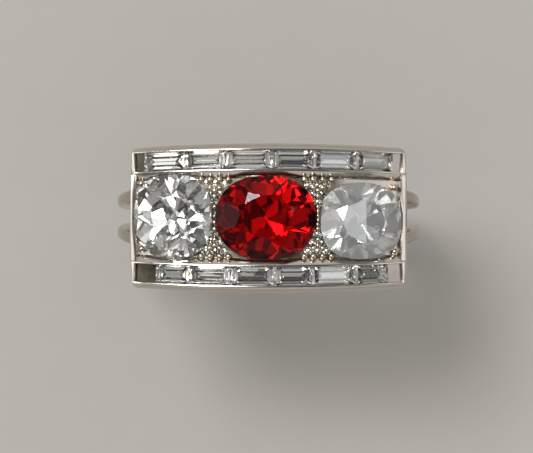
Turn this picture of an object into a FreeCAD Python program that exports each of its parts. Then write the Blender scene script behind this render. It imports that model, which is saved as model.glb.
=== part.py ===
import FreeCAD, Part
import math
import os

# A three-stone cocktail ring: a ruby between two old-cut diamonds in a long arched head, with a channel
# of six baguette diamonds along each long side, on a shank of split double wires.
#
# Millimetres. The origin is the centre of the finger hole, the finger lies along Y, the head is at +Z and
# its long side runs along X. "Front" is -Y, "back" is +Y, "left" is -X and "right" is +X.

Vector = FreeCAD.Vector
ORIGIN = Vector(0, 0, 0)
FINGER_AXIS = Vector(0, 1, 0)

# Shank
finger_radius = 8.65
shank_thickness = 1.35
wire_width = 0.78
wire_bow = 78.0                 # radius on which the two wires of a side bow apart
wire_closest = 0.77             # centre of a wire from the middle of the ring where the pair is closest
wire_closest_height = -6.0      # and how high that is
base_half_width = 1.19
base_end_angle = -58.0          # angles run from +X towards +Z, around the finger
shoulder_start = 34.0
shoulder_end = 41.0
edge_round = 0.28

# Head
rim_height = 13.4               # top of the channel rims above the finger's centre, at mid-length
arch_radius = 30.0              # the head bends over the finger on this radius
head_half_length = 8.85
head_corner_half_length = 8.7
head_half_width = 4.74
head_end_half_width = 4.44
head_corner_round = 0.45
rail_depth = 1.9
rail_bow = 0.24                 # how far each channel bows outwards at mid-length
flank_foot = 2.55               # the polished flank of a rail falls from its rim to here
flank_depth = 0.36
channel_inner = 3.13
channel_width = 1.17
channel_depth = 1.05
channel_half_length = 8.5
rim_width = 0.11
outer_bevel = 0.36
block_depth = 0.3

# Gallery under the head
gallery_inner = 2.4
gallery_outer = 3.6
gallery_bar_thickness = 0.9
panel_thickness = 0.5
panel_half_length = 7.6
panel_bays = 7
panel_leg = 0.5
panel_band = 0.35
panel_overlap = 0.4             # a panel starts this far above the foot of its rail, and is then cut to the rail
end_panel_bays = 2

# Plate and end walls around the centre stones
plate_depth = 0.45
plate_thickness = 0.5
plate_tuck = 0.3                # how far the plate reaches under the flanks
plate_end_gap = 0.2
end_wall_thickness = 0.55
end_wall_bevel = 0.12
end_wall_edge = 0.05            # upright edge between the bevel and the top of an end wall

# Stones: half length, half width, squareness of the outline, then heights
girdle = 0.08
girdle_depth = 0.12             # middle of a stone's girdle below the rims
seat_clearance = 0.06
collet_height = 1.45
collet_lip = 0.03               # top of a collet below the girdle's lower edge
collet_inset = 0.01
collet_taper = 0.25
bearing_inset = 0.44            # inner edge of the ledge that carries a stone, in from its girdle
well_top = 0.3                  # the straight well under the ledge starts this far below the girdle
well_overrun = 1.0              # and is cut this far past the foot of the collet
room_sink = 0.05                # the clear space around a girdle reaches this far below it
head_room = 2.0                 # and this far above it
star_slope_share = 0.6          # slopes of the smaller facets, as shares of the main ones
upper_half_share = 1.3
lower_half_share = 1.09
STONES = {
    "centre_ruby": dict(x=-0.17, y=0.04, half_length=3.17, half_width=2.65, squareness=2.3,
                        crown=0.78, table=0.62, pavilion=2.35, culet=0.03),
    "left_diamond": dict(x=-6.1, y=0.1, half_length=2.52, half_width=2.68, squareness=2.45,
                         crown=0.95, table=0.48, pavilion=2.3, culet=0.1),
    "right_diamond": dict(x=5.93, y=-0.2, half_length=2.62, half_width=2.43, squareness=2.5,
                          crown=0.9, table=0.5, pavilion=2.2, culet=0.1),
}

# Baguettes, from left to right along a channel
baguette_lengths = {
    "back": (2.68, 2.62, 2.88, 2.62, 2.72, 2.4),
    "front": (2.18, 2.66, 2.7, 2.4, 2.76, 2.16),
}
row_start = {"back": -8.04, "front": -7.28}
baguette_gap = 0.03
baguette_width = channel_width - 0.03
baguette_crown = 0.2
baguette_pavilion = 0.56
baguette_depth = 0.3            # middle of the girdle below the rims
baguette_insets = (0.42, 0.25)  # width of the crown at the ends and along the sides
low_step_share = 0.4            # the lower crown step's share of that width
low_step_rise = 0.55            # and of the crown's height
baguette_end_keel = 0.62        # length of the pavilion's end slope, as a share of the stone's width
steep_step = 1.3                # the two pavilion steps, as shares of their mean slope
shallow_step = 0.86

# Small round accent stones and the grains that hold them, from the middle of a cluster
accent_radius = 0.27
accent_crown = 0.13
accent_pavilion = 0.21
accent_girdle = 0.03
accent_clearance = 0.025
accent_depth = plate_depth - 0.05
accent_pitch = 0.6
accent_rows = (2.1, 1.56, 1.03)
cluster_x = {"left": -3.44, "right": 3.16}
grain_radius = 0.14
gap_grain_radius = 0.11
grain_stem_radius = 0.055
grain_depth = 0.14              # middle of a grain below the rims
rail_grain_y = 2.43
gap_grains = {"left": (-0.28, 0.1), "right": (-0.42, -0.14, 0.14, 0.42)}
gap_x = {"left": -3.46, "right": 3.16}
corner_prong_radius = 0.17
prong_stem_share = 0.6
corner_prongs = ((-8.17, 2.18), (-8.13, -1.98), (8.08, 1.92), (8.1, -2.16))

SIDES = {"front": -1, "back": 1}
ENDS = {"left": -1, "right": 1}

arch_centre = Vector(0, 0, rim_height - arch_radius)
bar_radius = finger_radius + gallery_bar_thickness
shank_radius = finger_radius + shank_thickness


# ------------------------------------------------------------------ shapes about the finger and the arch

def rotated(shape, centre, axis, degrees):
    turned = shape.copy()
    turned.rotate(centre, axis, degrees)
    return turned


def polygon_face(points):
    return Part.Face(Part.makePolygon(points + points[:1]))


def block(low, high):
    size = high - low
    return Part.makeBox(size.x, size.y, size.z, low)


def finger_sector(inner, outer, y_low, y_high, start, stop):
    """Part of a tube around the finger, between two angles that run from +X towards +Z."""
    face = polygon_face([Vector(inner, y_low, 0), Vector(outer, y_low, 0),
                         Vector(outer, y_high, 0), Vector(inner, y_high, 0)])
    face = rotated(face, ORIGIN, -FINGER_AXIS, start)
    return face.revolve(ORIGIN, -FINGER_AXIS, stop - start)


def arch_cylinder(depth):
    """Everything under the arched surface that lies this deep below the rims."""
    reach = 2 * head_half_width
    start = arch_centre - FINGER_AXIS * reach / 2
    return Part.makeCylinder(arch_radius - depth, reach, start, FINGER_AXIS)


def arch_slab(top, bottom):
    return arch_cylinder(top).cut(arch_cylinder(bottom))


def on_arch(shape, x, y, depth=0.0):
    """Carry a shape built about the origin to its place on the arched head, standing square to it."""
    placed = shape.copy()
    placed.translate(Vector(0, y, rim_height - depth))
    return rotated(placed, arch_centre, FINGER_AXIS, math.degrees(math.asin(x / arch_radius)))


def head_prism():
    """The head seen from above, with four gently bowed sides, as a tall prism."""
    corner = Vector(head_corner_half_length, head_end_half_width, 0)
    corners = [Vector(sx * corner.x, sy * corner.y, 0) for sx, sy in ((-1, -1), (1, -1), (1, 1), (-1, 1))]
    middles = [Vector(0, -head_half_width, 0), Vector(head_half_length, 0, 0),
               Vector(0, head_half_width, 0), Vector(-head_half_length, 0, 0)]
    sides = [Part.Arc(corners[i], middles[i], corners[(i + 1) % 4]).toShape() for i in range(4)]
    prism = Part.Face(Part.Wire(sides)).extrude(Vector(0, 0, 2 * rim_height))
    upright = [edge for edge in prism.Edges if abs(edge.Vertexes[0].Z - edge.Vertexes[-1].Z) > rim_height]
    return prism.makeFillet(head_corner_round, upright)


# ------------------------------------------------------------------ shank

def rounded_outside(shape):
    """Round the edges that run around the outside of the shank."""
    picked = []
    for edge in shape.Edges:
        ends = [vertex.Point for vertex in edge.Vertexes]
        on_outside = all(abs(math.hypot(p.x, p.z) - shank_radius) < 1e-4 for p in ends)
        runs_around = abs(math.atan2(ends[0].z, ends[0].x) - math.atan2(ends[-1].z, ends[-1].x)) > 0.1
        if on_outside and runs_around:
            picked.append(edge)
    return shape.makeFillet(edge_round, picked)


def shank_base():
    band = finger_sector(finger_radius, shank_radius, -base_half_width, base_half_width,
                         -180 - base_end_angle, base_end_angle)
    return rounded_outside(band)


def shank_wire(side, end):
    """One of the four wires, from the base up to the shoulder, bowing away from its twin."""
    lane = finger_sector(finger_radius, shank_radius, 0.02, 4, base_end_angle, shoulder_start)
    bow_centre = Vector(0, wire_closest + wire_bow, wire_closest_height)
    reach = Vector(2 * shank_radius, 0, 0)
    outer = Part.makeCylinder(wire_bow + wire_width / 2, reach.x, bow_centre, reach)
    inner = Part.makeCylinder(wire_bow - wire_width / 2, reach.x, bow_centre, reach)
    wire = rounded_outside(lane.common(outer.cut(inner)))
    if side < 0:
        wire = wire.mirror(ORIGIN, FINGER_AXIS)
    if end < 0:
        wire = wire.mirror(ORIGIN, Vector(1, 0, 0))
    return wire


def shoulder_bridge(end):
    """Bar across the finger on which the wires end and the gallery stands."""
    bridge = rounded_outside(finger_sector(finger_radius, shank_radius, -gallery_outer, gallery_outer,
                                           shoulder_start, shoulder_end))
    return bridge if end > 0 else bridge.mirror(ORIGIN, Vector(1, 0, 0))


# ------------------------------------------------------------------ channel rails

def rail_pivot(side):
    """Centre and direction of the tilted axis on which a rail is turned: the tilt bows it outwards as it arches."""
    drop = arch_radius - math.sqrt(arch_radius ** 2 - head_half_length ** 2)
    tilt = math.asin(rail_bow / drop)
    down = Vector(0, -side * math.sin(tilt), -math.cos(tilt))
    centre = Vector(0, side * channel_inner, rim_height) + down * arch_radius
    return centre, Vector(0, math.cos(tilt), -side * math.sin(tilt))


def rail_sweep(side, outline, start, stop):
    """Sweep an outline of (distance from the middle, depth below the rims) along a rail, between two angles."""
    centre, axis = rail_pivot(side)
    face = polygon_face([Vector(0, side * y, rim_height - depth) for y, depth in outline])
    face = rotated(face, centre, axis, start)
    return face.revolve(centre, axis, stop - start)


def rail_angle(x):
    return math.degrees(math.asin(x / arch_radius))


def channel_rail(side):
    outer_rim = channel_inner + channel_width
    beyond = 2 * head_half_width
    outline = [(flank_foot, rail_depth), (flank_foot, flank_depth), (channel_inner - rim_width, 0),
               (outer_rim + rim_width, 0), (outer_rim + rim_width + outer_bevel, outer_bevel),
               (beyond, outer_bevel), (beyond, rail_depth)]
    groove = [(channel_inner, -1), (channel_inner, channel_depth), (outer_rim, channel_depth), (outer_rim, -1)]
    full = 2 * rail_angle(head_half_length)
    grooved = rail_angle(channel_half_length)
    rail = rail_sweep(side, outline, -full, full).common(head_prism())
    return rail.cut(rail_sweep(side, groove, -grooved, grooved))


def row_positions(row):
    """(middle, length) of each baguette of a row, left to right, measured along the channel."""
    start = row_start[row]
    places = []
    for length in baguette_lengths[row]:
        places.append((start + length / 2, length))
        start += length + baguette_gap
    return places


def end_block(row, end):
    """Metal stop that fills the channel between the last baguette and the end of the channel."""
    middle, length = row_positions(row)[0 if end < 0 else -1]
    stone_end = math.degrees((middle + end * (length / 2 + baguette_gap)) / arch_radius)
    channel_end = end * rail_angle(channel_half_length)
    outline = [(channel_inner, block_depth), (channel_inner + channel_width, block_depth),
               (channel_inner + channel_width, channel_depth), (channel_inner, channel_depth)]
    return rail_sweep(SIDES[row], outline, min(stone_end, channel_end), max(stone_end, channel_end))


# ------------------------------------------------------------------ gallery

def arched_opening(width, depth, top):
    """A round-topped opening through a panel, centred on X = 0, cut from its top down past its foot."""
    radius = width / 2
    foot = Vector(-radius, -depth / 2, top - radius - rim_height)
    straight = block(foot, Vector(radius, depth / 2, top - radius))
    crown = Part.makeCylinder(radius, depth, Vector(0, -depth / 2, top - radius), FINGER_AXIS)
    return straight.fuse(crown)


def arch_height(x, depth):
    return arch_centre.z + math.sqrt((arch_radius - depth) ** 2 - x ** 2)


def gallery_bar(side):
    edges = sorted((side * gallery_inner, side * gallery_outer))
    return finger_sector(finger_radius, bar_radius, edges[0], edges[1], shoulder_end, 180 - shoulder_end)


def gallery_panel(side, rail, bridges):
    """Upright side wall between a gallery bar and its rail, pierced by a row of arches."""
    edges = sorted((side * (gallery_outer - panel_thickness), side * gallery_outer))
    wall = block(Vector(-panel_half_length, edges[0], 0), Vector(panel_half_length, edges[1], rim_height))
    wall = wall.common(arch_cylinder(rail_depth - panel_overlap)).cut(rail)
    wall = wall.cut(Part.makeCylinder(bar_radius, 4 * gallery_outer, -FINGER_AXIS * 2 * gallery_outer, FINGER_AXIS))
    wall = wall.cut(bridges[0]).cut(bridges[1])
    bay = 2 * panel_half_length / panel_bays
    for number in range(panel_bays):
        middle = (number + 0.5) * bay - panel_half_length
        lowest_top = arch_height(abs(middle) + bay / 2, rail_depth) - panel_band
        opening = arched_opening(bay - panel_leg, 2 * panel_thickness, lowest_top)
        wall = wall.cut(opening.translated(Vector(middle, (edges[0] + edges[1]) / 2, 0)))
    return wall


def gallery_end(end, supports):
    """Upright wall across each end of the gallery, between the two side panels, standing on a bridge."""
    half = gallery_outer - panel_thickness
    inside_bridge = shank_radius * math.sin(math.radians(shoulder_start + 1))
    edges = sorted((end * (panel_half_length - panel_thickness), end * panel_half_length))
    wall = block(Vector(edges[0], -half, inside_bridge), Vector(edges[1], half, rim_height))
    wall = wall.common(arch_cylinder(rail_depth))
    for support in supports:
        wall = wall.cut(support)
    bay = 2 * half / end_panel_bays
    top = arch_height(panel_half_length, rail_depth) - panel_band
    for number in range(end_panel_bays):
        opening = arched_opening(bay - panel_leg, 2 * panel_thickness, top)
        opening.rotate(ORIGIN, Vector(0, 0, 1), 90)
        middle = (number + 0.5) * bay - half
        wall = wall.cut(opening.translated(Vector((edges[0] + edges[1]) / 2, middle, 0)))
    return wall


# ------------------------------------------------------------------ stones

def clipped(faces, normal, limit):
    """The convex body with these faces, cut to the side of a plane where normal . point <= limit."""
    near = 1e-7
    heights = [[normal.dot(corner) - limit for corner in corners] for corners in faces]
    if max(max(row) for row in heights) <= near:
        return faces
    kept, cap = [], []
    for corners, row in zip(faces, heights):
        outline = []
        for i, corner in enumerate(corners):
            after, here, there = corners[(i + 1) % len(corners)], row[i], row[(i + 1) % len(corners)]
            if here <= near:
                outline.append(corner)
            if (here < -near and there > near) or (here > near and there < -near):
                outline.append(corner + (after - corner) * (here / (here - there)))
        if len(outline) > 2 and min(normal.dot(corner) for corner in outline) < limit - near:
            kept.append(outline)
        for corner in outline:
            on_plane = abs(normal.dot(corner) - limit) <= near
            if on_plane and all(corner.distanceToPoint(other) > 10 * near for other in cap):
                cap.append(corner)
    middle = sum(cap, Vector()) * (1 / len(cap))
    across = (cap[0] - middle).normalize()
    up = normal.cross(across)
    cap.sort(key=lambda corner: math.atan2(up.dot(corner - middle), across.dot(corner - middle)))
    return kept + [cap]


def faceted(planes, size):
    """A solid with flat facets: a large cube clipped by (normal, limit) planes."""
    low, high = -size, size
    faces = []
    for axis in range(3):
        for level in (low, high):
            ring = [(low, low), (high, low), (high, high), (low, high)]
            faces.append([Vector(*(pair[:axis] + (level,) + pair[axis:])) for pair in ring])
    for normal, limit in planes:
        length = normal.Length
        faces = clipped(faces, normal * (1 / length), limit / length)
    return Part.Solid(Part.Shell([polygon_face(corners) for corners in faces]))


def slope_plane(azimuth, reach, height, slope, up):
    """A facet through the line at this reach and height, that climbs inwards (up = 1) or dives inwards (-1)."""
    normal = Vector(slope * math.cos(azimuth), slope * math.sin(azimuth), up)
    return normal, slope * reach + up * height


def cushion_reach(half_length, half_width, squareness, azimuth):
    """Distance of the tangent to a cushion outline that faces an azimuth."""
    dual = squareness / (squareness - 1)
    along = abs(half_length * math.cos(azimuth)) ** dual
    across = abs(half_width * math.sin(azimuth)) ** dual
    return (along + across) ** (1 / dual)


def brilliant(half_length, half_width, squareness, crown, table, pavilion, culet, thick=girdle, mains=8):
    """Brilliant cut on a cushion outline, its girdle centred on the origin."""
    step = 2 * math.pi / mains
    half = thick / 2
    planes = [(Vector(0, 0, 1), half + crown), (Vector(0, 0, -1), half + pavilion)]
    kite_table = table / math.cos(step / 2)

    def reach(azimuth):
        return cushion_reach(half_length, half_width, squareness, azimuth)

    for number in range(4 * mains):
        azimuth = number * step / 4
        planes.append((Vector(math.cos(azimuth), math.sin(azimuth), 0), reach(azimuth)))
    for number in range(mains):
        azimuth = number * step
        width = reach(azimuth)
        planes.append(slope_plane(azimuth, width, half, crown / (width * (1 - kite_table)), 1))
        planes.append(slope_plane(azimuth, width, -half, pavilion / (width * (1 - culet)), -1))
        star = azimuth + step / 2
        width = reach(star)
        star_slope = star_slope_share * crown / (width * (1 - kite_table))
        planes.append(slope_plane(star, table * width, half + crown, star_slope, 1))
        for turn in (-step / 4, step / 4):
            width = reach(azimuth + turn)
            upper_half = upper_half_share * crown / (width * (1 - kite_table))
            lower_half = lower_half_share * pavilion / (width * (1 - culet))
            planes.append(slope_plane(azimuth + turn, width, half, upper_half, 1))
            planes.append(slope_plane(azimuth + turn, width, -half, lower_half, -1))
    return faceted(planes, 2 * max(half_length, half_width))


def baguette(length, width):
    """Step cut, its girdle centred on the origin, with two crown steps and two pavilion steps on each side."""
    half = girdle / 2
    planes = [(Vector(0, 0, 1), half + baguette_crown), (Vector(0, 0, -1), half + baguette_pavilion)]
    for number in range(4):
        azimuth = number * math.pi / 2
        reach = (length, width)[number % 2] / 2
        inset = baguette_insets[number % 2]
        outward = Vector(round(math.cos(azimuth)), round(math.sin(azimuth)), 0)
        planes.append((outward, reach))
        lower_slope = low_step_rise * baguette_crown / (low_step_share * inset)
        upper_slope = (1 - low_step_rise) * baguette_crown / ((1 - low_step_share) * inset)
        planes.append(slope_plane(azimuth, reach, half, lower_slope, 1))
        planes.append(slope_plane(azimuth, reach - inset, half + baguette_crown, upper_slope, 1))
        keel = (baguette_end_keel * width, width / 2)[number % 2]
        planes.append(slope_plane(azimuth, reach, -half, steep_step * baguette_pavilion / keel, -1))
        planes.append(slope_plane(azimuth, reach - keel, -half - baguette_pavilion,
                                  shallow_step * baguette_pavilion / keel, -1))
    return faceted(planes, 2 * length)


def baguette_row(row):
    side = SIDES[row]
    centre, axis = rail_pivot(side)
    middle_y = side * (channel_inner + channel_width / 2)
    stones = []
    for middle, length in row_positions(row):
        stone = baguette(length, baguette_width)
        stone.translate(Vector(0, middle_y, rim_height - baguette_depth))
        stones.append(rotated(stone, centre, axis, math.degrees(middle / arch_radius)))
    return stones


def cushion_wire(stone, inset, z):
    """A stone's outline, drawn in by an inset, as a closed curve at a height."""
    points = []
    count = 24
    for number in range(count):
        angle = number * 2 * math.pi / count
        cosine, sine = math.cos(angle), math.sin(angle)
        power = 2 / stone["squareness"]
        points.append(Vector(math.copysign(abs(cosine) ** power, cosine) * (stone["half_length"] - inset),
                             math.copysign(abs(sine) ** power, sine) * (stone["half_width"] - inset), z))
    curve = Part.BSplineCurve()
    curve.interpolate(Points=points, PeriodicFlag=True)
    return Part.Wire(curve.toShape())


def cushion_loft(stone, levels):
    return Part.makeLoft([cushion_wire(stone, inset, z) for inset, z in levels], True, True)


def collet_body(stone):
    """Outside of the collet under a stone's girdle, before it is hollowed."""
    top = -girdle / 2 - collet_lip
    return cushion_loft(stone, [(collet_inset, top), (collet_taper, -collet_height)])


def bearing_cone(stone):
    """Room for the edge of a stone's pavilion, where it rests on its bearing."""
    slope = stone["pavilion"] / (min(stone["half_length"], stone["half_width"]) * (1 - stone["culet"]))
    level = -girdle / 2
    return cushion_loft(stone, [(-seat_clearance, level),
                                (bearing_inset, level - slope * (bearing_inset + seat_clearance))])


def collet_hollow(stone):
    """Room for the stone's pavilion, with the bearing that it sits on."""
    well = cushion_loft(stone, [(bearing_inset, -well_top), (bearing_inset, -collet_height - well_overrun)])
    return bearing_cone(stone).fuse(well)


def girdle_room(stone):
    """Clear space around a stone's girdle and crown, and under its edge."""
    above = cushion_loft(stone, [(-seat_clearance, -girdle / 2 - room_sink), (-seat_clearance, head_room)])
    return above.fuse(bearing_cone(stone))


def place_stone(shape, stone):
    return on_arch(shape, stone["x"], stone["y"], girdle_depth)


# ------------------------------------------------------------------ accents, grains and prongs

def accent_places(end, row):
    """Triangle of six accent stones: three beside the rail, then two, then one."""
    side = SIDES[row]
    places = []
    for row_number, y in enumerate(accent_rows):
        count = 3 - row_number
        for number in range(count):
            places.append((cluster_x[end] + (number - (count - 1) / 2) * accent_pitch, side * y))
    return places


def grain_places(end, row):
    """Grains beside the rail of a cluster, between its accent stones, and at its point."""
    side = SIDES[row]
    x = cluster_x[end]
    near, middle, far = accent_rows
    offsets = [(share * accent_pitch, rail_grain_y) for share in (-1.45, -0.5, 0.5, 1.45)]
    offsets += [(share * accent_pitch, (2 * near + middle) / 3) for share in (-0.5, 0.5)]
    offsets += [(0, (near + 2 * middle) / 3), (0, (2 * middle + far) / 3), (0, far - 0.33)]
    return [(x + dx, side * y) for dx, y in offsets]


def accent_stone():
    return brilliant(accent_radius, accent_radius, 2.0, accent_crown, 0.45, accent_pavilion, 0.05,
                     thick=accent_girdle)


def accent_seat():
    """Conical hole that an accent stone drops into, a little wider than the stone."""
    radius = accent_radius + accent_clearance
    ledge = -accent_girdle / 2 - accent_clearance
    depth = accent_pavilion + accent_clearance
    cone = Part.makeCone(0, radius, depth, Vector(0, 0, ledge - depth))
    return cone.fuse(Part.makeCylinder(radius, 1, Vector(0, 0, ledge)))


def bead(radius, stem_radius, foot_depth):
    """A round-topped grain whose stem stands on the plate, its ball centred on the origin."""
    ball = Part.makeSphere(radius)
    return ball.fuse(Part.makeCylinder(stem_radius, foot_depth, Vector(0, 0, -foot_depth)))


def grains(places, radius):
    grain = bead(radius, grain_stem_radius, plate_depth - grain_depth)
    return [on_arch(grain, x, y, grain_depth) for x, y in places]


def corner_prong_group():
    prong = bead(corner_prong_radius, prong_stem_share * corner_prong_radius, plate_depth - grain_depth)
    return [on_arch(prong, x, y, grain_depth) for x, y in corner_prongs]


# ------------------------------------------------------------------ plate and end walls

def end_wall(end, rails, rooms):
    """Wall across an end of the head between the rails, bevelled inwards and scalloped round the stone."""
    inner = head_half_length - end_wall_thickness
    wall = head_prism().common(arch_slab(0, rail_depth))
    wall = wall.common(block(Vector(inner, -head_half_width, 0),
                             Vector(2 * head_half_length, head_half_width, 2 * rim_height)))
    top = arch_height(inner, 0)
    clear = end_wall_thickness
    outline = [(inner - clear, top + clear), (inner + end_wall_bevel, top + clear),
               (inner + end_wall_bevel, top - end_wall_edge), (inner, top - flank_depth),
               (inner - clear, top - flank_depth)]
    bevel = polygon_face([Vector(x, -head_half_width, z) for x, z in outline])
    wall = wall.cut(bevel.extrude(Vector(0, 2 * head_half_width, 0)))
    if end < 0:
        wall = wall.mirror(ORIGIN, Vector(1, 0, 0))
    for cutter in rails + rooms:
        wall = wall.cut(cutter)
    return wall


def setting_plate(neighbours, seats):
    """Arched plate between the rails and end walls, with a hole for each collet and a seat for each accent."""
    plate = arch_slab(plate_depth, plate_depth + plate_thickness)
    far_corner = Vector(head_half_length - plate_end_gap, flank_foot + plate_tuck, rim_height)
    plate = plate.common(block(Vector(-far_corner.x, -far_corner.y, 0), far_corner))
    for cutter in neighbours:
        plate = plate.cut(cutter)
    return plate.cut(Part.makeCompound(seats))


# ------------------------------------------------------------------ assembly

def main_solids(shape):
    """The solids of a cut shape without crumbs, which are under a fiftieth of the largest."""
    largest = max(solid.Volume for solid in shape.Solids)
    return [solid for solid in shape.Solids if solid.Volume > largest / 50]


def build():
    nodes = {"shank_base": [shank_base()]}
    for end_name, end in ENDS.items():
        for side_name, side in SIDES.items():
            nodes[f"{end_name}_{side_name}_shank_wire"] = [shank_wire(side, end)]
    bridges = [shoulder_bridge(end) for end in ENDS.values()]
    nodes["left_shoulder_bridge"] = [bridges[0]]
    nodes["right_shoulder_bridge"] = [bridges[1]]

    rooms = [place_stone(girdle_room(stone), stone) for stone in STONES.values()]
    bodies = [place_stone(collet_body(stone), stone) for stone in STONES.values()]
    bars = [gallery_bar(side) for side in SIDES.values()]
    rails = []
    for side in SIDES.values():
        rail = channel_rail(side)
        for room in rooms:
            rail = rail.cut(room)
        rails.append(rail)
    for (side_name, side), rail, bar in zip(SIDES.items(), rails, bars):
        nodes[f"{side_name}_channel_rail"] = main_solids(rail)
        nodes[f"{side_name}_gallery_bar"] = [bar]
        nodes[f"{side_name}_gallery_panel"] = main_solids(gallery_panel(side, rail, bridges))

    for (end_name, end), bridge in zip(ENDS.items(), bridges):
        nodes[f"{end_name}_gallery_end"] = main_solids(gallery_end(end, [bridge] + bars))
    walls = [end_wall(end, rails, rooms + bodies) for end in ENDS.values()]
    nodes["left_end_wall"] = main_solids(walls[0])
    nodes["right_end_wall"] = main_solids(walls[1])

    seats = [on_arch(accent_seat(), x, y, accent_depth)
             for end in ENDS for side in SIDES for x, y in accent_places(end, side)]
    for (name, stone), body in zip(STONES.items(), bodies):
        collet = body.cut(place_stone(collet_hollow(stone), stone))
        for cutter in rails + walls + seats:
            collet = collet.cut(cutter)
        nodes[name.replace("_ruby", "").replace("_diamond", "") + "_collet"] = main_solids(collet)
        nodes[name] = [place_stone(brilliant(*(stone[key] for key in (
            "half_length", "half_width", "squareness", "crown", "table", "pavilion", "culet"))), stone)]

    for end_name in ENDS:
        for side_name in SIDES:
            places = accent_places(end_name, side_name)
            accents = [on_arch(accent_stone(), x, y, accent_depth) for x, y in places]
            nodes[f"{side_name}_{end_name}_accent_stones"] = accents
            nodes[f"{side_name}_{end_name}_grains"] = grains(grain_places(end_name, side_name), grain_radius)
        gap_places = [(gap_x[end_name], y) for y in gap_grains[end_name]]
        nodes[f"{end_name}_gap_grains"] = grains(gap_places, gap_grain_radius)
    nodes["corner_prongs"] = corner_prong_group()
    nodes["setting_plate"] = main_solids(setting_plate(rails + walls + bodies + rooms, seats))

    for row in SIDES:
        for number, stone in enumerate(baguette_row(row), start=1):
            nodes[f"{row}_baguette_{number}"] = [stone]
        for end_name, end in ENDS.items():
            nodes[f"{row}_{end_name}_end_block"] = [end_block(row, end)]
    return nodes


os.makedirs("parts", exist_ok=True)
for node, solids in build().items():
    shape = solids[0] if len(solids) == 1 else Part.makeCompound(solids)
    print(node, len(solids), "valid" if shape.isValid() else "INVALID", round(shape.Volume, 4))
    shape.exportStep(f"parts/{node}.step")
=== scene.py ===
import bpy
import bmesh
import itertools
import math
import random
import numpy as np
from mathutils import Matrix, Vector


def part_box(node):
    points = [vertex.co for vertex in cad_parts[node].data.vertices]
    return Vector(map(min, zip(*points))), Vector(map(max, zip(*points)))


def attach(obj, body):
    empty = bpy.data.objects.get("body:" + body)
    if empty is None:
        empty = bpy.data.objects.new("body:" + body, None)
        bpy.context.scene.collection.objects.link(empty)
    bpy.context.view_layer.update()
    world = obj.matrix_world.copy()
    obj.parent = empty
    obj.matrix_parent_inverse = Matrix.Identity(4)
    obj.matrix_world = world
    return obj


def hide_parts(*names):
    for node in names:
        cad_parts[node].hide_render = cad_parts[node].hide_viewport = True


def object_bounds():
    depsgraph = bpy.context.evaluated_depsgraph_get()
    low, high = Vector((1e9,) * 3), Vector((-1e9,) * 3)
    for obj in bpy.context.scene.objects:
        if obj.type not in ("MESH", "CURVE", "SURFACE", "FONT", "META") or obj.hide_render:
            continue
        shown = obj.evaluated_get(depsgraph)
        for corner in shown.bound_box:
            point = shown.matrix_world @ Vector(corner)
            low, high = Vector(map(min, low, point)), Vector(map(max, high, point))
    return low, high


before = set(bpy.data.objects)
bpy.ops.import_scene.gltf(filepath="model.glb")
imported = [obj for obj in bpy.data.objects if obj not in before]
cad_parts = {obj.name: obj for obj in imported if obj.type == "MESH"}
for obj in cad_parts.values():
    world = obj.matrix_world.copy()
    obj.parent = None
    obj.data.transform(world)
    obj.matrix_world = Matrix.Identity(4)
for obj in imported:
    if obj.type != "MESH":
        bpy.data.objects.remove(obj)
cad_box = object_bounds()

MM = 0.001
ARCH_RADIUS = 30.0 * MM            # the head bends over the finger on this radius
GIRDLE_DEPTH = 0.12 * MM           # middle of a centre stone's girdle below the rims
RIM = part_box("back_channel_rail")[1].z
HEAD_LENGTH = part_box("right_end_wall")[1].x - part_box("left_end_wall")[0].x
VIEW_WIDTH = 1.91219 * HEAD_LENGTH  # what the camera takes in at the height of the rims

# ------------------------------------------------------------------ node helpers


def new_material(name):
    material = bpy.data.materials.new(name)
    material.use_nodes = True
    nodes = material.node_tree.nodes
    nodes.clear()
    output = nodes.new("ShaderNodeOutputMaterial")
    shader = nodes.new("ShaderNodeBsdfPrincipled")
    material.node_tree.links.new(shader.outputs["BSDF"], output.inputs["Surface"])
    return material, shader, output


def noise(tree, scale, detail=3.0, roughness=0.5, stretch=(1, 1, 1)):
    place = tree.nodes.new("ShaderNodeTexCoord")
    mapping = tree.nodes.new("ShaderNodeMapping")
    mapping.inputs["Scale"].default_value = stretch
    texture = tree.nodes.new("ShaderNodeTexNoise")
    texture.inputs["Scale"].default_value = scale
    texture.inputs["Detail"].default_value = detail
    texture.inputs["Roughness"].default_value = roughness
    tree.links.new(place.outputs["Object"], mapping.inputs["Vector"])
    tree.links.new(mapping.outputs["Vector"], texture.inputs["Vector"])
    return texture.outputs["Fac"]


def ramp(tree, fac, stops):
    node = tree.nodes.new("ShaderNodeValToRGB")
    elements = node.color_ramp.elements
    while len(elements) < len(stops):
        elements.new(0.5)
    for element, (position, colour) in zip(elements, stops):
        element.position = position
        element.color = (*colour, 1)
    tree.links.new(fac, node.inputs["Fac"])
    return node.outputs["Color"]


def to_range(tree, fac, low, high):
    node = tree.nodes.new("ShaderNodeMapRange")
    node.inputs["To Min"].default_value = low
    node.inputs["To Max"].default_value = high
    tree.links.new(fac, node.inputs["Value"])
    return node.outputs["Result"]


def blend(tree, fac, first, second):
    """Mix of two colours, each a socket or a plain colour."""
    node = tree.nodes.new("ShaderNodeMix")
    node.data_type = "RGBA"
    sockets = {socket.identifier: socket for socket in node.inputs}
    tree.links.new(fac, sockets["Factor_Float"])
    for name, value in (("A_Color", first), ("B_Color", second)):
        if isinstance(value, tuple):
            sockets[name].default_value = (*value, 1)
        else:
            tree.links.new(value, sockets[name])
    return next(socket for socket in node.outputs if socket.identifier == "Result_Color")


def bump(tree, height, strength, distance):
    node = tree.nodes.new("ShaderNodeBump")
    node.inputs["Strength"].default_value = strength
    node.inputs["Distance"].default_value = distance
    tree.links.new(height, node.inputs["Height"])
    return node.outputs["Normal"]


# ------------------------------------------------------------------ materials

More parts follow.
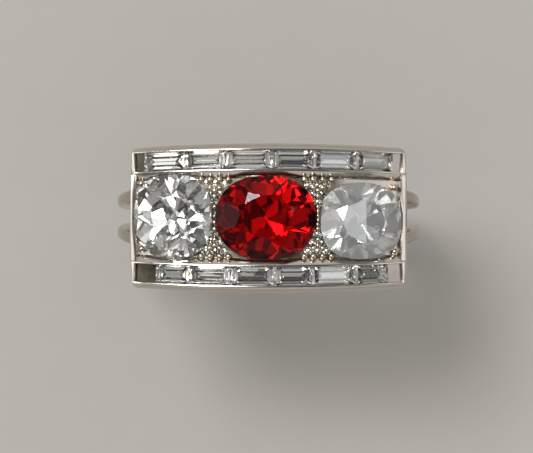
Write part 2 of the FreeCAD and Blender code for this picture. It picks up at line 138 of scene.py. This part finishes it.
def metal(name, dark, light, gloss, scratch=0.15):
    """Polished metal with a faint cloud of wear, rubbed-in hairlines and uneven gloss."""
    material, shader, output = new_material(name)
    tree = material.node_tree
    colour = ramp(tree, noise(tree, 900, detail=5), [(0.3, dark), (0.7, light)])
    tree.links.new(colour, shader.inputs["Base Color"])
    shader.inputs["Metallic"].default_value = 1.0
    tree.links.new(to_range(tree, noise(tree, 2500, detail=4), *gloss), shader.inputs["Roughness"])
    hairlines = noise(tree, 1500, detail=6, roughness=0.7, stretch=(0.35, 1.6, 1.6))
    tree.links.new(bump(tree, hairlines, scratch, 0.02 * MM), shader.inputs["Normal"])
    return material


def plate_metal_painted_shade():
    """Metal that is bright at the ends of the head and carries painted shade between the small stones beside
    the ruby.
    """
    material, shader, output = new_material("plate_metal_painted_shade")
    tree = material.node_tree
    place = tree.nodes.new("ShaderNodeTexCoord")
    split = tree.nodes.new("ShaderNodeSeparateXYZ")
    tree.links.new(place.outputs["Object"], split.inputs["Vector"])
    distance = tree.nodes.new("ShaderNodeMath")
    distance.operation = "ABSOLUTE"
    tree.links.new(split.outputs["X"], distance.inputs[0])
    # painted shade covers the middle of the head and fades out towards its ends
    painted_shade_until, unshaded_from = 4.2 * MM, 5.0 * MM
    beyond = to_range(tree, distance.outputs["Value"], 0, 1)
    beyond.node.inputs["From Min"].default_value = painted_shade_until
    beyond.node.inputs["From Max"].default_value = unshaded_from
    # painted shade: this darker ramp stands in for the shade between the small stones
    dark = ramp(tree, noise(tree, 1800, detail=5), [(0.3, (0.20, 0.17, 0.13)), (0.7, (0.34, 0.30, 0.24))])
    tree.links.new(blend(tree, beyond, dark, (0.66, 0.62, 0.58)), shader.inputs["Base Color"])
    shader.inputs["Metallic"].default_value = 1.0
    tree.links.new(to_range(tree, noise(tree, 2500, detail=4), 0.2, 0.36), shader.inputs["Roughness"])
    return material


def gem(name, ior, colours, reflection=(1, 1, 1), clearness=1.0):
    material, shader, output = new_material(name)
    tree = material.node_tree
    colour = ramp(tree, noise(tree, 500), [(0.35, colours[0]), (0.65, colours[1])])
    tree.links.new(colour, shader.inputs["Base Color"])
    shader.inputs["Transmission Weight"].default_value = clearness
    shader.inputs["IOR"].default_value = ior
    shader.inputs["Roughness"].default_value = 0.0
    shader.inputs["Specular Tint"].default_value = (*reflection, 1)
    return material, output


def ruby():
    material, output = gem("ruby", 1.77, [(0.99, 0.90, 0.92), (1.0, 0.95, 0.95)],
                           reflection=(0.20, 0.19, 0.21))
    tree = material.node_tree
    depth = tree.nodes.new("ShaderNodeVolumeAbsorption")
    depth.inputs["Color"].default_value = (0.88, 0.0, 0.06, 1)
    depth.inputs["Density"].default_value = 1050
    tree.links.new(depth.outputs["Volume"], output.inputs["Volume"])
    return material


PLATINUM = metal("platinum", (0.66, 0.62, 0.57), (0.71, 0.67, 0.62), (0.09, 0.17), scratch=0.1)
# painted shade: a darker copy of the platinum for the wires, base, bridges and gallery of the shank
SHANK_METAL_PAINTED_SHADE = metal("shank_metal_painted_shade", (0.45, 0.40, 0.33), (0.50, 0.45, 0.38), (0.12, 0.2), scratch=0.1)
BEAD_METAL = metal("bead_metal", (0.47, 0.40, 0.31), (0.63, 0.56, 0.45), (0.05, 0.16), scratch=0.05)
PLATE_METAL_PAINTED_SHADE = plate_metal_painted_shade()
# the end blocks are one metal in two copies: deep painted shade for the left ones, lighter painted shade for
# the right ones
LEFT_BLOCK_PAINTED_SHADE = metal("dark_block", (0.05, 0.045, 0.035), (0.16, 0.14, 0.11), (0.12, 0.25))
RIGHT_BLOCK_PAINTED_SHADE = metal("right_block_painted_shade", (0.36, 0.33, 0.31), (0.46, 0.43, 0.41), (0.12, 0.25))
RUBY = ruby()
DIAMOND_IOR = 2.417
DIAMOND, _ = gem("diamond", DIAMOND_IOR, [(0.93, 0.925, 0.89), (0.975, 0.97, 0.95)])
ACCENT, _ = gem("accent_diamond", DIAMOND_IOR, [(0.80, 0.75, 0.66), (0.86, 0.82, 0.74)])
# painted reflection: the right stone is made partly cloudy to stand in for a veil of reflected light over it
DIAMOND_PAINTED_VEIL, _ = gem("diamond_painted_veil", DIAMOND_IOR, [(0.93, 0.95, 0.95), (0.98, 1.0, 1.0)],
                       clearness=0.78)


def material_of(name):
    if "ruby" in name:
        return RUBY
    if "accent" in name:
        return ACCENT
    # the right stone gets the cloudier copy, its painted veil of reflected light
    if name == "right_diamond":
        return DIAMOND_PAINTED_VEIL
    if "diamond" in name or "baguette" in name:
        return DIAMOND
    if "grains" in name or "prongs" in name:
        return BEAD_METAL
    if name == "setting_plate" or "collet" in name:
        return PLATE_METAL_PAINTED_SHADE
    # painted shade on the end blocks, deeper on the left
    if "end_block" in name:
        return LEFT_BLOCK_PAINTED_SHADE if "left" in name else RIGHT_BLOCK_PAINTED_SHADE
    # the shank's parts get the darker copy of the platinum, its painted shade
    if any(word in name for word in ("wire", "base", "bridge", "gallery")):
        return SHANK_METAL_PAINTED_SHADE
    return PLATINUM


def dress():
    for name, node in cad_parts.items():
        node.data.materials.clear()
        node.data.materials.append(material_of(name))


# ------------------------------------------------------------------ pieces

def add_piece(bm, node, smooth_angle=None):
    """Make an object of a bmesh that stands for a CAD node and looks as that node should."""
    mesh = bpy.data.meshes.new(node + "_piece")
    bm.normal_update()
    bm.to_mesh(mesh)
    bm.free()
    if smooth_angle is not None:
        mesh.polygons.foreach_set("use_smooth", [True] * len(mesh.polygons))
        mesh.set_sharp_from_angle(angle=math.radians(smooth_angle))
    mesh.materials.append(material_of(node))
    piece = bpy.data.objects.new(node + "_piece", mesh)
    bpy.context.scene.collection.objects.link(piece)
    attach(piece, "root")
    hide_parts(node)
    return piece


def over_a_box(point, boxes, margin=0.1):
    """Whether a point lies over one of the boxes, seen from above, or within a margin of it."""
    return any(all(low[axis] - margin < point[axis] < high[axis] + margin for axis in (0, 1))
               for low, high in boxes)


def on_the_rim(edge, node):
    """Whether an edge runs level along the upper half of a node."""
    low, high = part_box(node)
    start, end = (vertex.co for vertex in edge.verts)
    level = abs(end.z - start.z) < (end - start).length / 2
    return level and start.z + end.z > (low.z + high.z) / MM


def rounded_copy(node, width, segments=3):
    """The node's own shape with its crisp edges rounded over, but not where it makes room for another.

    It is worked on in millimetres.
    """
    boxes = [[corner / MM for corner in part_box(other)] for other in LEFT_CRISP.get(node, ())]
    bm = bmesh.new()
    bm.from_mesh(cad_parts[node].data)
    for vertex in bm.verts:
        vertex.co /= MM
    bmesh.ops.remove_doubles(bm, verts=bm.verts, dist=WELD)
    bmesh.ops.dissolve_limit(bm, angle_limit=math.radians(FLAT_ANGLE), verts=bm.verts, edges=bm.edges)
    sharp = [edge for edge in bm.edges
             if len(edge.link_faces) == 2 and edge.calc_face_angle() > math.radians(CRISP_ANGLE)
             and not over_a_box((edge.verts[0].co + edge.verts[1].co) / 2, boxes)
             and (node not in RIM_ONLY or on_the_rim(edge, node))]
    bmesh.ops.bevel(bm, geom=sharp, offset=width, offset_type="OFFSET", segments=segments, profile=0.5,
                    affect="EDGES", clamp_overlap=False)
    for vertex in bm.verts:
        vertex.co *= MM
    return add_piece(bm, node, smooth_angle=35)


# ------------------------------------------------------------------ stones

HALF_GIRDLE = 0.04                 # half the thickness of a stone's edge, in millimetres
# slopes of the smaller facets as shares of the main ones
STAR_SLOPE = 0.56
UPPER_HALF_SLOPE = 1.32
LOWER_HALF_SLOPE = 1.1
SPLIT_SLOPE = 1.035


def convex_body(planes):
    """Corners of the body on the inner side of every (normal, limit) plane, found three planes at a time."""
    normals = np.array([normal for normal, limit in planes], float)
    limits = np.array([limit for normal, limit in planes], float)
    lengths = np.linalg.norm(normals, axis=1)
    normals /= lengths[:, None]
    limits /= lengths
    triples = np.array(list(itertools.combinations(range(len(planes)), 3)))
    matrices = normals[triples]
    flat = np.abs(np.linalg.det(matrices)) > 1e-6
    points = np.linalg.solve(matrices[flat], limits[triples[flat]][..., None])[..., 0]
    inside = (points @ normals.T <= limits + 1e-7).all(axis=1)
    return points[inside]


def faceted_bmesh(planes):
    bm = bmesh.new()
    for corner in convex_body(planes):
        bm.verts.new(corner)
    bmesh.ops.remove_doubles(bm, verts=bm.verts, dist=1e-4)
    hull = bmesh.ops.convex_hull(bm, input=bm.verts)
    bmesh.ops.delete(bm, geom=[v for v in hull["geom_interior"] if isinstance(v, bmesh.types.BMVert)],
                     context="VERTS")
    bmesh.ops.dissolve_limit(bm, angle_limit=math.radians(0.1), verts=bm.verts, edges=bm.edges)
    bmesh.ops.recalc_face_normals(bm, faces=bm.faces)
    return bm


def sloped(azimuth, reach, height, slope, up):
    """A facet through the line at this reach and height, rising inwards (up = 1) or diving inwards (-1)."""
    return (slope * math.cos(azimuth), slope * math.sin(azimuth), up), slope * reach + up * height


def old_cut(half_length, half_width, squareness, crown, table, pavilion, culet, unevenness, seed,
            turn=0.0, split_pavilion=False):
    """Facet planes of an old hand-cut cushion brilliant, its girdle centred on the origin, in millimetres."""
    chance = random.Random(seed)
    dual = squareness / (squareness - 1)
    half = HALF_GIRDLE

    def reach(azimuth):
        along = abs(half_length * math.cos(azimuth)) ** dual
        across = abs(half_width * math.sin(azimuth)) ** dual
        return (along + across) ** (1 / dual)

    def uneven(size=1.0):
        return 1 + unevenness * size * chance.uniform(-1, 1)

    mains = 8
    step = 2 * math.pi / mains
    kite_table = table / math.cos(step / 2)
    crown_slope = crown / (half_width * (1 - kite_table))
    pavilion_slope = pavilion / (half_width * (1 - culet))
    planes = [((0, 0, 1), half + crown), ((0, 0, -1), half + pavilion)]
    for number in range(6 * mains):
        azimuth = number * step / 6
        planes.append(((math.cos(azimuth), math.sin(azimuth), 0), reach(azimuth)))
    for number in range(mains):
        azimuth = number * step + turn + 2 * unevenness * chance.uniform(-1, 1)
        width = reach(azimuth)
        scale = half_width / width
        planes.append(sloped(azimuth, width, half, crown_slope * scale * uneven(), 1))
        planes.append(sloped(azimuth, width, -half, pavilion_slope * scale * uneven(0.6), -1))
        star = azimuth + step / 2
        width = reach(star)
        star_slope = STAR_SLOPE * crown_slope * half_width / width * uneven(1.5)
        planes.append(sloped(star, table * width * uneven(), half + crown, star_slope, 1))
        for side in (-step / 4, step / 4):
            lean = azimuth + side
            width = reach(lean)
            scale = half_width / width
            upper_slope = UPPER_HALF_SLOPE * crown_slope * scale * uneven()
            lower_slope = LOWER_HALF_SLOPE * pavilion_slope * scale * uneven(0.5)
            planes.append(sloped(lean, width, half, upper_slope, 1))
            planes.append(sloped(lean, width, -half, lower_slope, -1))
            if split_pavilion:
                lean = azimuth + side / 2
                width = reach(lean)
                scale = half_width / width
                split_slope = SPLIT_SLOPE * pavilion_slope * scale * uneven(0.3)
                planes.append(sloped(lean, width, -half, split_slope, -1))
    return planes


def set_stone(node, squareness, **cut):
    """Cut a centre stone to its node's outline and stand it square to the arched head."""
    low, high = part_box(node)
    middle = (low + high) / 2
    tilt = math.asin(middle.x / (ARCH_RADIUS - GIRDLE_DEPTH))
    half_length = (high.x - low.x) / 2 / math.cos(tilt) / MM
    half_width = (high.y - low.y) / 2 / MM
    bm = faceted_bmesh(old_cut(half_length, half_width, squareness, **cut))
    height = RIM - ARCH_RADIUS + (ARCH_RADIUS - GIRDLE_DEPTH) * math.cos(tilt)
    place = Matrix.Translation((middle.x, middle.y, height)) @ Matrix.Rotation(tilt, 4, "Y")
    bm.transform(place @ Matrix.Scale(MM, 4))
    return add_piece(bm, node)


def set_stones():
    set_stone("centre_ruby", 2.3, crown=0.76, table=0.47, pavilion=2.25, culet=0.05, unevenness=0.05, seed=4,
              split_pavilion=True)
    set_stone("left_diamond", 2.45, crown=0.93, table=0.44, pavilion=2.2, culet=0.1, unevenness=0.08, seed=2,
              turn=0.25, split_pavilion=True)
    set_stone("right_diamond", 2.5, crown=0.88, table=0.50, pavilion=2.1, culet=0.1, unevenness=0.05, seed=9)


# how much larger than their nodes the beads are drawn
GRAIN_GROWTH = 1.45
PRONG_GROWTH = 1.15


def loose_parts(mesh):
    """Vertex positions of each separate solid of a node."""
    bm = bmesh.new()
    bm.from_mesh(mesh)
    bmesh.ops.remove_doubles(bm, verts=bm.verts, dist=0.001 * MM)
    waiting = set(bm.verts)
    parts = []
    while waiting:
        front = [waiting.pop()]
        part = []
        while front:
            vertex = front.pop()
            part.append(vertex.co.copy())
            for edge in vertex.link_edges:
                other = edge.other_vert(vertex)
                if other in waiting:
                    waiting.remove(other)
                    front.append(other)
        parts.append(part)
    bm.free()
    return sorted(parts, key=lambda part: tuple(round(value, 6) for value in part_middle(part)))


def part_middle(part):
    return [(min(point[axis] for point in part) + max(point[axis] for point in part)) / 2
            for axis in range(3)]


def lathe(bm, profile, place, sides=28):
    """Turn a profile of (radius, height), from its top point down, about the local Z axis."""
    rings = []
    for radius, height in profile:
        if radius == 0:
            rings.append([bm.verts.new(place @ Vector((0, 0, height)))])
            continue
        angles = [2 * math.pi * number / sides for number in range(sides)]
        rings.append([bm.verts.new(place @ Vector((radius * math.cos(a), radius * math.sin(a), height)))
                      for a in angles])
    for above, below in zip(rings, rings[1:]):
        for number in range(sides):
            after = (number + 1) % sides
            if len(above) == 1:
                bm.faces.new((above[0], below[number], below[after]))
            else:
                bm.faces.new((above[number], below[number], below[after], above[after]))
    bm.faces.new(rings[-1][::-1])


def bead_profile(radius, foot):
    """A raised grain: a nearly round head on a waist that spreads into the metal it was raised from.

    Widths and heights are shares of the radius, down to the waist, and of the foot's depth below it.
    """
    head = [(radius * math.sin(math.radians(a)), radius * math.cos(math.radians(a)) * 0.94)
            for a in range(0, 131, 10)]
    head[0] = (0, head[0][1])
    return head + [(0.62 * radius, -0.8 * radius), (0.72 * radius, foot * 0.92), (0.95 * radius, foot)]


def raise_beads(node, growth):
    """Grains of slightly different sizes at the places of the node's solids."""
    chance = random.Random(len(node))
    bm = bmesh.new()
    for part in loose_parts(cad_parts[node].data):
        across = max(point.x for point in part) - min(point.x for point in part)
        x, y, _ = part_middle(part)
        top = max(point.z for point in part)
        foot = min(point.z for point in part) - (top - across / 2)
        radius = across / 2 * growth * chance.uniform(0.9, 1.1)
        tilt = math.asin(x / ARCH_RADIUS)
        place = Matrix.Translation((x, y, top - across / 2)) @ Matrix.Rotation(tilt, 4, "Y")
        lathe(bm, bead_profile(radius, foot), place)
    bmesh.ops.recalc_face_normals(bm, faces=bm.faces)
    return add_piece(bm, node, smooth_angle=80)


def set_beads():
    for node in sorted(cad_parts):
        if node.endswith("_grains"):
            raise_beads(node, GRAIN_GROWTH)
        if node == "corner_prongs":
            raise_beads(node, PRONG_GROWTH)


# millimetres within which corners of a node are one, and degrees at which an edge is flat or crisp
WELD = 0.002
FLAT_ANGLE = 1.0
CRISP_ANGLE = 28
# the nodes over which a piece keeps its crisp edges
RAILS = ("front_channel_rail", "back_channel_rail")
LEFT_CRISP = {rail: ("centre_ruby", "left_diamond", "right_diamond") for rail in RAILS}
# the nodes that are rounded along their upper edges only, because the others lie against the rails
RIM_ONLY = ("left_end_wall", "right_end_wall")
# widths of the rounded edges, in millimetres
ROUNDED = {"channel_rail": 0.05, "end_wall": 0.05, "shoulder_bridge": 0.16, "gallery_bar": 0.12,
           "gallery_panel": 0.04, "gallery_end": 0.04}

dress()
set_stones()
set_beads()
for ending, edge_width in ROUNDED.items():
    for node_name in sorted(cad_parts):
        if node_name.endswith(ending):
            rounded_copy(node_name, edge_width)

# ------------------------------------------------------------------ stage


def floor_material():
    material, shader, output = new_material("paper")
    tree = material.node_tree
    colour = ramp(tree, noise(tree, 350, detail=6.0, roughness=0.6),
                  [(0.3, (0.582, 0.560, 0.522)), (0.7, (0.592, 0.570, 0.532))])
    tree.links.new(colour, shader.inputs["Base Color"])
    shader.inputs["Roughness"].default_value = 0.9
    shader.inputs["Specular IOR Level"].default_value = 0.2
    return material


def make_floor():
    level = cad_box[0][2]
    half = 1.2
    corners = [(-half, -half, level), (half, -half, level), (half, half, level), (-half, half, level)]
    mesh = bpy.data.meshes.new("floor")
    mesh.from_pydata(corners, [], [(0, 1, 2, 3)])
    mesh.materials.append(floor_material())
    floor = bpy.data.objects.new("floor", mesh)
    bpy.context.scene.collection.objects.link(floor)


KEY_AZIMUTH = 131
KEY_ELEVATION = 65


def direction(azimuth, elevation):
    az, el = math.radians(azimuth), math.radians(elevation)
    return Vector((math.cos(az) * math.cos(el), math.sin(az) * math.cos(el), math.sin(el)))


def softbox(name, azimuth, elevation, distance, size, radiance, colour=(1, 1, 1), seen_by=("all",)):
    """A rectangular light that faces the ring; radiance is what a ray sees when it looks straight at it."""
    data = bpy.data.lights.new(name, "AREA")
    data.shape = "RECTANGLE"
    data.size, data.size_y = size
    data.energy = radiance * math.pi * size[0] * size[1]
    data.color = colour
    lamp = bpy.data.objects.new(name, data)
    towards = direction(azimuth, elevation)
    lamp.location = towards * distance
    lamp.rotation_euler = towards.to_track_quat("Z", "Y").to_euler()
    bpy.context.scene.collection.objects.link(lamp)
    if "all" not in seen_by:
        lamp.visible_diffuse = "diffuse" in seen_by
        lamp.visible_glossy = "glossy" in seen_by
        lamp.visible_transmission = "transmission" in seen_by


def make_lights():
    softbox("key", KEY_AZIMUTH, KEY_ELEVATION, 0.5, (0.15, 0.15), 13.5)
    softbox("key_halo", 112, 52, 0.45, (0.12, 0.10), 5, seen_by=("glossy", "transmission"))
    softbox("key_edge", 158, 48, 0.45, (0.12, 0.10), 2.2, seen_by=("glossy", "transmission"))
    softbox("left_panel", 180, 48, 0.4, (0.3, 0.14), 1.1, (1, 0.96, 0.92), seen_by=("glossy",))
    softbox("right_panel", 0, 55, 0.4, (0.3, 0.12), 1.0, (1, 0.96, 0.92), seen_by=("glossy",))
    softbox("star", KEY_AZIMUTH, KEY_ELEVATION, 0.45, (0.12, 0.12), 15, seen_by=("glossy",))
    softbox("veil", 0, 70.1, 0.415, (0.06, 0.06), 1.5, (0.96, 0.98, 1), seen_by=("glossy",))
    softbox("blue_flash", 60, 62, 0.4, (0.02, 0.03), 5, (0.25, 0.5, 1.0), seen_by=("transmission",))
    softbox("yellow_flash", 215, 66, 0.4, (0.02, 0.02), 4, (1.0, 0.7, 0.15), seen_by=("transmission",))


def world_profile(tree, up, stops):
    return ramp(tree, up, [(math.sin(math.radians(elevation)), colour) for elevation, colour in stops])


def make_world():
    """Even light for the floor, a graded room for metal, and a patchwork of panels for the stones."""
    world = bpy.data.worlds.new("studio")
    bpy.context.scene.world = world
    world.use_nodes = True
    world.cycles.sampling_method = "NONE"
    tree = world.node_tree
    nodes, links = tree.nodes, tree.links
    background = nodes["Background"]
    place = nodes.new("ShaderNodeTexCoord")
    split = nodes.new("ShaderNodeSeparateXYZ")
    links.new(place.outputs["Generated"], split.inputs["Vector"])
    up = split.outputs["Z"]
    room = world_profile(tree, up, [(0, (0.47, 0.44, 0.40)), (12, (0.56, 0.53, 0.50)),
                                    (27, (0.60, 0.57, 0.54)), (38, (0.16, 0.16, 0.15)),
                                    (75, (0.08, 0.08, 0.08))])
    cells = nodes.new("ShaderNodeTexVoronoi")
    cells.inputs["Scale"].default_value = 8.0
    links.new(place.outputs["Generated"], cells.inputs["Vector"])
    grey = nodes.new("ShaderNodeSeparateColor")
    links.new(cells.outputs["Color"], grey.inputs["Color"])
    panels = ramp(tree, grey.outputs["Red"], [(0.0, (0.05, 0.05, 0.055)), (0.42, (0.12, 0.12, 0.12)),
                                              (0.5, (0.32, 0.32, 0.315)), (0.78, (0.46, 0.46, 0.45)),
                                              (0.82, (0.85, 0.85, 0.83)), (1.0, (1.1, 1.1, 1.07))])
    towards_key = nodes.new("ShaderNodeVectorMath")
    towards_key.operation = "DOT_PRODUCT"
    towards_key.inputs[1].default_value = direction(KEY_AZIMUTH, 30)
    links.new(place.outputs["Generated"], towards_key.inputs[0])
    share = to_range(tree, towards_key.outputs["Value"], 0.55, 1.4)
    share.node.inputs["From Min"].default_value = -1.0
    lit = nodes.new("ShaderNodeVectorMath")
    lit.operation = "SCALE"
    links.new(panels, lit.inputs[0])
    links.new(share, lit.inputs["Scale"])
    ray = nodes.new("ShaderNodeLightPath")
    seen = blend(tree, ray.outputs["Is Transmission Ray"], room, lit.outputs["Vector"])
    seen = blend(tree, ray.outputs["Is Diffuse Ray"], seen, (0.50, 0.488, 0.472))
    links.new(seen, background.inputs["Color"])


def make_camera():
    data = bpy.data.cameras.new("camera")
    camera = bpy.data.objects.new("camera", data)
    bpy.context.scene.collection.objects.link(camera)
    bpy.context.scene.camera = camera
    distance = 0.3
    tilt = math.radians(-0.5)
    target = Vector((-0.13 * MM, -0.54 * MM, RIM))
    data.lens = data.sensor_width * distance / VIEW_WIDTH
    data.clip_start = 0.01
    data.clip_end = 10
    camera.location = target + Vector((0, -math.sin(tilt), math.cos(tilt))) * distance
    camera.rotation_euler = (tilt, 0, 0)


def look():
    scene = bpy.context.scene
    scene.view_settings.view_transform = "Standard"
    scene.cycles.use_denoising = True
    scene.cycles.max_bounces = 24
    scene.cycles.transmission_bounces = 20
    scene.cycles.glossy_bounces = 12
    scene.cycles.diffuse_bounces = 4
    scene.cycles.caustics_reflective = False
    scene.cycles.caustics_refractive = False


make_floor()
make_lights()
make_world()
make_camera()
look()
